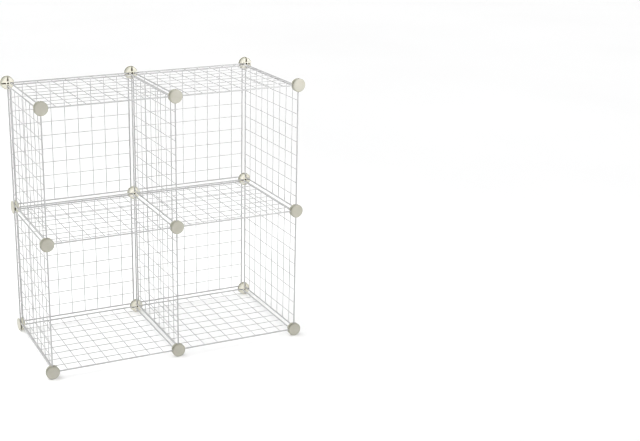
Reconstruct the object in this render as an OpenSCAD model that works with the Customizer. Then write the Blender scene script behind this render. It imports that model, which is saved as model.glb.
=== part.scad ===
// Modular wire cube storage unit, two cubes wide and two cubes high.
// Sixteen identical welded wire panels close the floors, tops, sides and
// backs of the cubes, and eighteen identical push-on plastic connectors
// hold the panels together at their corners. The cubes are open in front.
//
// Frame: origin under the middle of the unit on the floor, +Z up, the open
// front faces -Y, +X to the right of someone who looks into the cubes.

/* [Wire panel] */
// Outer size of one square panel, edge to edge
panel_size = 355.6; // [300:0.1:405]
// Squares along each side of a panel
panel_squares = 9; // [4:1:12]
// Diameter of the frame wire round the edge of a panel
frame_wire_d = 4; // [3.2:0.1:4.2]
// Diameter of the thin wires of the grid
grid_wire_d = 1.8; // [1.2:0.1:2.2]
// Bend radius of the frame wire at a panel corner, on its centreline
frame_bend_r = 6; // [4:0.5:12]
// Width of the outermost squares compared with the inner ones
edge_square_ratio = 0.88; // [0.7:0.01:1]
// Depth that two crossing wires sink into each other at a weld
weld_sink = 0.3; // [0.1:0.05:0.6]

/* [Connector disc] */
// Diameter of the disc that closes a connector
disc_d = 38; // [36:0.5:46]
// Thickness of the disc in its flat middle
disc_t = 3.2; // [2.6:0.1:4]
// Radius of the disc's full-round rim
disc_rim_r = 0.9; // [0.6:0.1:1.2]
// Diameter of the flat middle of the disc's outer face
disc_flat_d = 27; // [16:1:30]

/* [Connector petals] */
// Diameter of the ring of four petals
petal_d = 37; // [32:0.5:38]
// Height of the petals above the groove for in-line panels
petal_h = 11; // [10:0.5:16]
// Radius of the rounded shoulder of the petals
petal_shoulder_r = 6; // [2:0.5:7]
// Chamfer on the petals' lower rim, which guides a wire into the groove
petal_chamfer = 1; // [0.4:0.1:1.5]
// Diameter of the post that carries the petals
post_d = 11.6; // [8:0.1:11.6]
// Diameter of the blind hole in the post
post_hole_d = 5.6; // [3:0.1:7]
// Depth of the blind hole in the post
post_hole_depth = 11; // [4:0.5:12]
// Play between the frame wire and the slot or groove that holds it
wire_play = 0.2; // [0.1:0.05:0.5]
// Width of the chamfer along the mouths of the slots
mouth_chamfer = 0.7; // [0.2:0.1:1.2]
// Height of the snap ribs inside the slots
snap_rib = 0.35; // [0.1:0.05:0.6]

/* [Assembly] */
// Distance from a connector's axis to the frame wires beside it
wire_offset = 8; // [8:0.1:10]
// Depth of the panels' front wires behind the grooves of the front connectors
front_seat = 2; // [0:0.1:8]
// Distance of the panels' back wires from the grooves of the back connectors
back_seat = 8; // [8:0.1:10]

/* [Hidden] */
$fn = 64;

// Columns and levels of the lattice on which the connectors sit
left = -1;
centre = 0;
right = 1;
lower = 0;
upper = 1;
bottom = 0;
middle = 1;
top = 2;

// Panel: spacing of the thin wires, and their height off the panel's middle plane
frame_side = panel_size - frame_wire_d;
frame_straight = frame_side - 2 * frame_bend_r;
grid_pitch = frame_side / (panel_squares - 2 + 2 * edge_square_ratio);
grid_shift = (grid_wire_d - weld_sink) / 2;

// Connector, heights along its own axis: 0 is the middle of the groove for
// in-line panels, and + is the side of the petals
groove_w = frame_wire_d + wire_play;
disc_inner = -groove_w / 2;
petal_root = groove_w / 2;
petal_top = petal_root + petal_h;
disc_edge_r = disc_d / 2 - disc_rim_r;
crown_drop = disc_t - 2 * disc_rim_r;
crown_w = disc_edge_r - disc_flat_d / 2;
crown_r = (pow(crown_w, 2) + pow(crown_drop, 2)) / (2 * crown_drop);
mouth_side = (groove_w / 2 + mouth_chamfer) * sqrt(2);
rib_level = petal_top - 2.2;
rib_start = wire_offset + frame_wire_d;
rib_end = petal_d / 2 - 2.5;

// Unit: spacing of the connectors, and the planes of their grooves. The depth
// runs from the faces of the front discs to the rims of the turned ones
cell = frame_side + 2 * wire_offset;
groove_depth = frame_side + front_seat + back_seat;
unit_depth = disc_t + groove_w / 2 + groove_depth + disc_d / 2;
front_plane = disc_t + groove_w / 2 - unit_depth / 2;
back_plane = front_plane + groove_depth;
first_level = disc_d / 2;
panel_y = front_plane + front_seat + frame_side / 2;

// Closed square loop of frame wire with four rounded corners
module frame_wire() {
    for (turn = [0:90:270]) rotate(turn) {
        translate([frame_side / 2, 0, 0]) rotate([90, 0, 0])
            cylinder(d = frame_wire_d, h = frame_straight, center = true);
        translate([frame_straight / 2, frame_straight / 2, 0]) rotate_extrude(angle = 90)
            translate([frame_bend_r, 0]) circle(d = frame_wire_d);
    }
}

// Parallel thin wires along X on the +Z side, ending in the frame wire
module grid_wires() {
    for (i = [1:panel_squares - 1])
        translate([0, (i - panel_squares / 2) * grid_pitch, grid_shift]) rotate([0, 90, 0])
            cylinder(d = grid_wire_d, h = frame_side, center = true);
}

// One welded panel, flat in XY about its own middle
module wire_panel() {
    color("white") union() {
        frame_wire();
        grid_wires();
        rotate([180, 0, 90]) grid_wires();
    }
}

// Upright panel across the depth, in one of the three columns
module side_panel(column, row) {
    translate([column * cell, panel_y, first_level + (row + 0.5) * cell])
        rotate([0, 90, 0]) wire_panel();
}

// Level panel under, between or over the cubes, left or right of the centre
module level_panel(side, level) {
    translate([side * cell / 2, panel_y, first_level + level * cell]) wire_panel();
}

// Upright panel that closes the back of one cube
module back_panel(side, row) {
    translate([side * cell / 2, back_plane, first_level + (row + 0.5) * cell])
        rotate([90, 0, 0]) wire_panel();
}

// Half outline of the disc, outer face up: a flat middle, an arc that falls
// away from it to the rim, and a full-round rim
module disc_outline() {
    intersection() {
        union() {
            square([disc_edge_r, disc_t]);
            translate([disc_edge_r, disc_rim_r]) circle(r = disc_rim_r);
        }
        union() {
            square([disc_flat_d / 2, disc_t]);
            translate([disc_flat_d / 2, disc_t - crown_r]) circle(r = crown_r, $fn = 180);
        }
    }
}

// Half outline of the petals, root down, with a chamfer and a rounded shoulder
module petal_outline() {
    shoulder = [petal_d / 2 - petal_shoulder_r, petal_h - petal_shoulder_r];
    polygon([
        [0, 0], [petal_d / 2 - petal_chamfer, 0], [petal_d / 2, petal_chamfer],
        [petal_d / 2, shoulder[1]], [0, shoulder[1]]
    ]);
    square([shoulder[0], petal_h]);
    translate(shoulder) intersection() {
        circle(r = petal_shoulder_r);
        square(petal_shoulder_r);
    }
}

// Space that one arm of the cross slot takes out of the petals, along +X
module slot_arm() {
    translate([0, -groove_w / 2, 0]) cube([disc_d, groove_w, 2 * petal_top]);
    translate([0, 0, petal_top]) rotate([45, 0, 0])
        cube([2 * disc_d, mouth_side, mouth_side], center = true);
}

// Rib along one wall of a slot arm, which keeps a pushed-in wire down
module slot_rib() {
    translate([rib_start, 0, rib_level]) rotate([0, 90, 0])
        cylinder(r = snap_rib, h = rib_end - rib_start, $fn = 24);
}

// Push-on connector about its own axis: disc, post, four petals, blind hole
module connector() {
    color("ivory") difference() {
        union() {
            translate([0, 0, disc_inner]) mirror([0, 0, 1]) rotate_extrude() disc_outline();
            translate([0, 0, disc_inner - disc_rim_r])
                cylinder(d = post_d, h = petal_top - disc_inner + disc_rim_r);
            difference() {
                translate([0, 0, petal_root]) rotate_extrude() petal_outline();
                for (turn = [0:90:270]) rotate(turn) slot_arm();
            }
            for (turn = [0:90:270], wall = [-1, 1])
                rotate(turn) translate([0, wall * groove_w / 2, 0]) slot_rib();
        }
        translate([0, 0, petal_top - post_hole_depth])
            cylinder(d = post_hole_d, h = 2 * post_hole_depth);
    }
}

// Connector at the open front, its disc towards whoever looks in
module front_connector(column, level) {
    translate([column * cell, front_plane, first_level + level * cell])
        rotate([-90, 0, 0]) connector();
}

// Connector at the back, its disc towards the wall
module back_connector(column, level) {
    translate([column * cell, back_plane, first_level + level * cell])
        rotate([90, 0, 0]) connector();
}

// Connector at the back left edge that is turned, its disc towards the left
module turned_connector(level) {
    translate([left * cell, back_plane, first_level + level * cell])
        rotate([0, 90, 0]) connector();
}

side_panel(left, lower);  // side_panel_left_lower
side_panel(left, upper);  // side_panel_left_upper
side_panel(centre, lower);  // divider_panel_lower
side_panel(centre, upper);  // divider_panel_upper
side_panel(right, lower);  // side_panel_right_lower
side_panel(right, upper);  // side_panel_right_upper
level_panel(left, bottom);  // floor_panel_left
level_panel(right, bottom);  // floor_panel_right
level_panel(left, middle);  // shelf_panel_left
level_panel(right, middle);  // shelf_panel_right
level_panel(left, top);  // top_panel_left
level_panel(right, top);  // top_panel_right
back_panel(left, lower);  // back_panel_left_lower
back_panel(left, upper);  // back_panel_left_upper
back_panel(right, lower);  // back_panel_right_lower
back_panel(right, upper);  // back_panel_right_upper
front_connector(left, bottom);  // connector_front_left_bottom
front_connector(left, middle);  // connector_front_left_middle
front_connector(left, top);  // connector_front_left_top
front_connector(centre, bottom);  // connector_front_centre_bottom
front_connector(centre, middle);  // connector_front_centre_middle
front_connector(centre, top);  // connector_front_centre_top
front_connector(right, bottom);  // connector_front_right_bottom
front_connector(right, middle);  // connector_front_right_middle
front_connector(right, top);  // connector_front_right_top
turned_connector(bottom);  // connector_back_left_bottom
turned_connector(middle);  // connector_back_left_middle
back_connector(left, top);  // connector_back_left_top
back_connector(centre, bottom);  // connector_back_centre_bottom
back_connector(centre, middle);  // connector_back_centre_middle
back_connector(centre, top);  // connector_back_centre_top
back_connector(right, bottom);  // connector_back_right_bottom
back_connector(right, middle);  // connector_back_right_middle
back_connector(right, top);  // connector_back_right_top
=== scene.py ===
"""Looks of the wire cube storage unit: materials, camera, floor and studio light."""

import math

import bpy
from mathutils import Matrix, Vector


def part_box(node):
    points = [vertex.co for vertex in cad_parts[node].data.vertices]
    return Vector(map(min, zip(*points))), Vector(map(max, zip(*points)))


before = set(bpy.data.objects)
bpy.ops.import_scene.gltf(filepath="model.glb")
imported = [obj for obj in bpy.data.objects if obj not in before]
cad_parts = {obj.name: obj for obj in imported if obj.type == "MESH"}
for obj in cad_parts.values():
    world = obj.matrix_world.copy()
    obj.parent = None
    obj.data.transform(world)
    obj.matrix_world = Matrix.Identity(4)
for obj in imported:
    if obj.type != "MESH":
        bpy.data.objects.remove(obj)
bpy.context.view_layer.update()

MM = 0.001

# ---------------------------------------------------------------- camera
CAMERA_AZIMUTH = -23.6
CAMERA_ELEVATION = 16.8
CAMERA_DISTANCE = 3.458
CAMERA_AIM = Vector((0.223, 0.0, 0.415))
CAMERA_LENS = 65.7
CAMERA_SHIFT = (0.15, -0.0477)
SENSOR_WIDTH = 36.0
CLIP_START, CLIP_END = 0.05, 100.0


def make_camera():
    """The photo's viewing angle: from the left of the open front and from above."""
    azimuth, elevation = math.radians(CAMERA_AZIMUTH), math.radians(CAMERA_ELEVATION)
    back = Vector(
        (
            math.sin(azimuth) * math.cos(elevation),
            -math.cos(azimuth) * math.cos(elevation),
            math.sin(elevation),
        )
    )
    data = bpy.data.cameras.new("camera")
    data.lens = CAMERA_LENS
    data.sensor_width = SENSOR_WIDTH
    data.shift_x, data.shift_y = CAMERA_SHIFT
    data.clip_start, data.clip_end = CLIP_START, CLIP_END
    camera = bpy.data.objects.new("camera", data)
    bpy.context.scene.collection.objects.link(camera)
    camera.location = CAMERA_AIM + back * CAMERA_DISTANCE
    camera.rotation_mode = "QUATERNION"
    camera.rotation_quaternion = (-back).to_track_quat("-Z", "Y")
    bpy.context.scene.camera = camera


make_camera()


# ---------------------------------------------------------------- materials
COAT_LIGHT = (0.655, 0.655, 0.66)
COAT_SHADE = (0.60, 0.60, 0.60)
COAT_DULL = (0.55, 0.55, 0.54)
COAT_SPECK = (0.46, 0.45, 0.42)
COAT_DUST = (0.52, 0.51, 0.48)
PLASTIC_SHADE = (0.59, 0.575, 0.485)
PLASTIC_LIGHT = (0.64, 0.62, 0.54)
PLASTIC_SPECK = (0.53, 0.50, 0.41)
# Painted shade: the next two colours darken the outer edge of each disc, and the slots
# and other hollows of a connector.
PLASTIC_RIM_SHADE = (0.44, 0.44, 0.35)
PLASTIC_HOLLOW_SHADE = (0.15, 0.125, 0.085)
PAPER_SHADE = (0.93, 0.93, 0.93)
PAPER_LIGHT = (0.95, 0.95, 0.95)
RIM_SHADE_WIDTH = 4.0 * MM
HOLLOW_SHADE_REACH = 9 * MM
RING_SPACING = 0.9 * MM
GATE_INNER, GATE_OUTER = 0.9 * MM, 1.5 * MM


class Nodes:
    """Short calls that add shader nodes to one material and link them."""

    def __init__(self, name):
        self.material = bpy.data.materials.new(name)
        self.material.use_nodes = True
        self.tree = self.material.node_tree
        self.tree.nodes.clear()

    def add(self, kind, inputs=None, **settings):
        node = self.tree.nodes.new(kind)
        for key, value in settings.items():
            setattr(node, key, value)
        for key, value in (inputs or {}).items():
            if isinstance(value, bpy.types.NodeSocket):
                self.tree.links.new(value, node.inputs[key])
            else:
                node.inputs[key].default_value = value
        return node

    def noise(self, vector, scale, detail=3.0, roughness=0.5):
        made = self.add(
            "ShaderNodeTexNoise",
            {"Vector": vector, "Scale": scale, "Detail": detail, "Roughness": roughness},
        )
        return made.outputs[0]

    def ramp(self, value, low, high, to_low=0.0, to_high=1.0):
        made = self.add(
            "ShaderNodeMapRange",
            {0: value, 1: low, 2: high, 3: to_low, 4: to_high},
        )
        return made.outputs[0]

    def math(self, operation, a, b=0.0):
        made = self.add("ShaderNodeMath", {0: a, 1: b}, operation=operation)
        return made.outputs[0]

    def mix(self, factor, a, b):
        made = self.add(
            "ShaderNodeMix", {"Factor": factor}, data_type="RGBA", blend_type="MIX"
        )
        for socket, value in ((made.inputs[6], a), (made.inputs[7], b)):
            if isinstance(value, bpy.types.NodeSocket):
                self.tree.links.new(value, socket)
            else:
                socket.default_value = (*value, 1.0)
        return made.outputs[2]

    def bump(self, height, strength, distance, normal=None):
        inputs = {"Height": height, "Strength": strength, "Distance": distance}
        if normal is not None:
            inputs["Normal"] = normal
        return self.add("ShaderNodeBump", inputs).outputs[0]

    def finish(self, shader):
        self.add("ShaderNodeOutputMaterial", {"Surface": shader})
        return self.material


def coated_wire():
    """White plastic coating on steel wire: glossy, with the slow sags and fine
    orange peel of a dipped coat, duller patches, tiny specks, and a little
    grey dust on what faces up."""
    n = Nodes("coated_wire")
    geometry = n.add("ShaderNodeNewGeometry").outputs
    place = geometry["Position"]
    facing = n.add("ShaderNodeSeparateXYZ", {0: geometry["Normal"]}).outputs["Z"]
    broad = n.noise(place, scale=9.0, detail=4.0, roughness=0.6)
    patches = n.noise(place, scale=120.0, detail=4.0, roughness=0.6)
    specks = n.noise(place, scale=900.0, detail=2.0, roughness=0.5)
    sags = n.noise(place, scale=200.0, detail=2.0, roughness=0.4)
    orange_peel = n.noise(place, scale=1400.0, detail=2.0, roughness=0.5)
    colour = n.mix(n.ramp(broad, low=0.35, high=0.7), COAT_LIGHT, COAT_SHADE)
    dull = n.ramp(patches, low=0.5, high=0.72, to_high=0.45)
    colour = n.mix(dull, colour, COAT_DULL)
    specked = n.ramp(specks, low=0.68, high=0.78, to_high=0.6)
    colour = n.mix(specked, colour, COAT_SPECK)
    faces_up = n.ramp(facing, low=0.5, high=1.0)
    dust = n.math("MULTIPLY", faces_up, n.ramp(patches, low=0.35, high=0.65))
    dust_share = 0.3
    colour = n.mix(n.math("MULTIPLY", dust, dust_share), colour, COAT_DUST)
    normal = n.bump(sags, strength=0.6, distance=0.3 * MM)
    normal = n.bump(orange_peel, strength=0.45, distance=0.06 * MM, normal=normal)
    shader = n.add(
        "ShaderNodeBsdfPrincipled",
        {
            "Base Color": colour,
            "Roughness": n.ramp(patches, low=0.3, high=0.7, to_low=0.26, to_high=0.48),
            "Normal": normal,
            "Coat Weight": 0.25,
            "Coat Roughness": 0.18,
            "IOR": 1.5,
        },
    )
    return n.finish(shader.outputs[0])


def off_axis(n, place, centre, spacing, across):
    """Distance of a point from the axis of the connector that it is on. The
    connectors sit on a square lattice of one spacing, so the two coordinates
    across the axis are wrapped about the middle of the nearest one."""
    parts = n.add("ShaderNodeSeparateXYZ", {0: place}).outputs
    squares = []
    for axis in across:
        lattice = centre[axis] - spacing / 2
        from_cell = n.math("SUBTRACT", parts[axis], lattice)
        in_cell = n.math("FLOORED_MODULO", from_cell, spacing)
        offset = n.math("SUBTRACT", in_cell, spacing / 2)
        squares.append(n.math("MULTIPLY", offset, offset))
    return n.math("SQRT", n.math("ADD", *squares))


def connector_plastic(name, centre, spacing, across):
    """Moulded ivory plastic: satin, slightly translucent, with a fine moulded
    grain, faint flow marks, a rim painted darker as shade, faint turned rings
    from the mould and a gate mark in the middle of the disc. Surfaces that the
    connector itself encloses, such as the walls of its slots, are painted darker as
    shade."""
    n = Nodes(name)
    place = n.add("ShaderNodeNewGeometry").outputs["Position"]
    radius = off_axis(n, place, centre, spacing, across)
    flow = n.noise(place, scale=45.0, detail=4.0, roughness=0.6)
    speck = n.noise(place, scale=420.0, detail=3.0, roughness=0.6)
    grain = n.noise(place, scale=2600.0, detail=2.0, roughness=0.5)
    colour = n.mix(n.ramp(flow, low=0.35, high=0.65), PLASTIC_SHADE, PLASTIC_LIGHT)
    specked = n.ramp(speck, low=0.6, high=0.75, to_high=0.35)
    colour = n.mix(specked, colour, PLASTIC_SPECK)
    # Painted shade: the colour darkens towards the rim of each disc, in place of the
    # shade on its rounded edge.
    painted_rim_shade = n.ramp(radius, low=DISC_RADIUS - RIM_SHADE_WIDTH, high=DISC_RADIUS, to_high=0.7)
    colour = n.mix(painted_rim_shade, colour, PLASTIC_RIM_SHADE)
    # Painted shade: ambient occlusion darkens the colour of the slots and other hollows
    # that the connector itself encloses.
    open_sky = n.add(
        "ShaderNodeAmbientOcclusion",
        {"Distance": HOLLOW_SHADE_REACH},
        samples=8,
        only_local=True,
    ).outputs["AO"]
    painted_hollow_shade = n.ramp(open_sky, low=0.2, high=0.7, to_low=0.9, to_high=0.0)
    colour = n.mix(painted_hollow_shade, colour, PLASTIC_HOLLOW_SHADE)
    turns = n.math("MULTIPLY", radius, 2 * math.pi / RING_SPACING)
    rings = n.math("SINE", turns)
    gate = n.ramp(radius, low=GATE_INNER, high=GATE_OUTER, to_low=1.0, to_high=0.0)
    normal = n.bump(flow, strength=0.15, distance=0.5 * MM)
    normal = n.bump(rings, strength=0.12, distance=0.01 * MM, normal=normal)
    normal = n.bump(gate, strength=0.6, distance=0.15 * MM, normal=normal)
    normal = n.bump(grain, strength=0.2, distance=0.04 * MM, normal=normal)
    shader = n.add(
        "ShaderNodeBsdfPrincipled",
        {
            "Base Color": colour,
            "Roughness": n.ramp(flow, low=0.3, high=0.7, to_low=0.40, to_high=0.52),
            "Normal": normal,
            "Subsurface Weight": 0.06,
            "Subsurface Radius": (1.0, 0.85, 0.6),
            "Subsurface Scale": 0.8 * MM,
            "IOR": 1.5,
        },
    )
    return n.finish(shader.outputs[0])


def paper():
    """Matt white studio paper with the faintest unevenness."""
    n = Nodes("studio_paper")
    place = n.add("ShaderNodeNewGeometry").outputs["Position"]
    tone = n.noise(place, scale=0.8, detail=2.0, roughness=0.5)
    colour = n.mix(n.ramp(tone, low=0.3, high=0.7), PAPER_SHADE, PAPER_LIGHT)
    shader = n.add("ShaderNodeBsdfPrincipled", {"Base Color": colour, "Roughness": 0.9})
    return n.finish(shader.outputs[0])


def middle(node):
    """Middle of a node's box."""
    low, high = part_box(node)
    return (low + high) / 2


X_AXIS, Y_AXIS, Z_AXIS = 0, 1, 2
CORNER = "connector_front_left_bottom"
DISC_RADIUS = (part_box(CORNER)[1][X_AXIS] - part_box(CORNER)[0][X_AXIS]) / 2
SPACING = middle("connector_front_centre_bottom")[X_AXIS] - middle(CORNER)[X_AXIS]
TURNED = ("connector_back_left_bottom", "connector_back_left_middle")
WIRE = coated_wire()
PLASTIC = connector_plastic(
    "connector_plastic", middle(CORNER), SPACING, (X_AXIS, Z_AXIS)
)
PLASTIC_TURNED = connector_plastic(
    "connector_plastic_turned", middle(TURNED[0]), SPACING, (Y_AXIS, Z_AXIS)
)


def dress(node, material):
    """Gives a CAD node one material, in place of what it came with."""
    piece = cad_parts[node]
    piece.data.materials.clear()
    piece.data.materials.append(material)


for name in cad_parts:
    if name in TURNED:
        dress(name, PLASTIC_TURNED)
    elif name.startswith("connector_"):
        dress(name, PLASTIC)
    else:
        dress(name, WIRE)


# ---------------------------------------------------------------- studio
FLOOR_HALF = 30.0
HORIZON_TOP, DARK_FROM = 0.06, 0.18
HORIZON_STRENGTH, ROOM_STRENGTH = 1.0, 0.05
FILTER_WIDTH = 1.2


def make_floor():
    """Pale paper floor, wide enough to fill the view."""
    half = FLOOR_HALF
    mesh = bpy.data.meshes.new("studio_floor")
    corners = [(-half, -half, 0), (half, -half, 0), (half, half, 0), (-half, half, 0)]
    mesh.from_pydata(corners, [], [(0, 1, 2, 3)])
    mesh.materials.append(paper())
    floor = bpy.data.objects.new("studio_floor", mesh)
    bpy.context.scene.collection.objects.link(floor)
    return floor


def area_light(name, place, aim, size, power, spread):
    """Square soft box at a place, turned to its aim, that lights a cone as wide
    as its spread."""
    data = bpy.data.lights.new(name, "AREA")
    data.shape = "SQUARE"
    data.size = size
    data.energy = power
    data.spread = math.radians(spread)
    light = bpy.data.objects.new(name, data)
    bpy.context.scene.collection.objects.link(light)
    light.location = place
    light.rotation_mode = "QUATERNION"
    direction = Vector(aim) - Vector(place)
    light.rotation_quaternion = direction.to_track_quat("-Z", "Y")
    return light


def sun_light(name, towards, angle, strength):
    """Wide even light from far off, from the direction that towards points to."""
    data = bpy.data.lights.new(name, "SUN")
    data.angle = math.radians(angle)
    data.energy = strength
    light = bpy.data.objects.new(name, data)
    bpy.context.scene.collection.objects.link(light)
    light.rotation_mode = "QUATERNION"
    light.rotation_quaternion = Vector(towards).to_track_quat("Z", "Y")
    return light


def light_only(light, name, pieces):
    """Keeps a light to some pieces, and returns them as a collection."""
    lit = bpy.data.collections.new(name)
    for piece in pieces:
        lit.objects.link(piece)
    light.light_linking.receiver_collection = lit
    return lit


def make_surroundings():
    """A dim room with a white band at the horizon, which the floor runs into.
    The band fades between two heights, as the upward part of the direction."""
    world = bpy.data.worlds.new("studio")
    world.use_nodes = True
    tree = world.node_tree
    direction = tree.nodes.new("ShaderNodeTexCoord").outputs["Generated"]
    height = tree.nodes.new("ShaderNodeSeparateXYZ")
    fade = tree.nodes.new("ShaderNodeMapRange")
    tree.links.new(direction, height.inputs[0])
    tree.links.new(height.outputs["Z"], fade.inputs[0])
    fades = (HORIZON_TOP, DARK_FROM, HORIZON_STRENGTH, ROOM_STRENGTH)
    for socket, value in zip(fade.inputs[1:5], fades):
        socket.default_value = value
    background = tree.nodes["Background"]
    tree.links.new(fade.outputs[0], background.inputs["Strength"])
    background.inputs["Color"].default_value = (1.0, 1.0, 1.0, 1.0)
    bpy.context.scene.world = world


def make_studio():
    """Soft light from above, a weak key from the right, a fill that reaches
    only the connectors at the back, and a light that reaches only the floor
    and casts no shadow, which makes the other lights' shadows paler."""
    floor = make_floor()
    sun_light("overhead", towards=(-0.4, 0.25, 1.0), angle=60.0, strength=2.6)
    paper_light = sun_light(
        "paper_light", towards=(0.0, 0.0, 1.0), angle=10.0, strength=0.86
    )
    only_floor = light_only(paper_light, "lit_by_paper_light", [floor])
    paper_light.light_linking.blocker_collection = only_floor
    area_light(
        "key",
        place=(1.4, -1.4, 1.7),
        aim=(0.4, -0.2, 1.0),
        size=0.4,
        power=4.4,
        spread=70.0,
    )
    fill = area_light(
        "fill",
        place=(-0.8, -2.6, 0.9),
        aim=(0, 0.16, 0.2),
        size=0.5,
        power=24.0,
        spread=120.0,
    )
    back = [
        piece
        for name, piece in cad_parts.items()
        if name.startswith("connector_back_")
    ]
    light_only(fill, "lit_by_fill", back)
    make_surroundings()
    bpy.context.scene.view_settings.view_transform = "Standard"
    bpy.context.scene.cycles.filter_width = FILTER_WIDTH


make_studio()
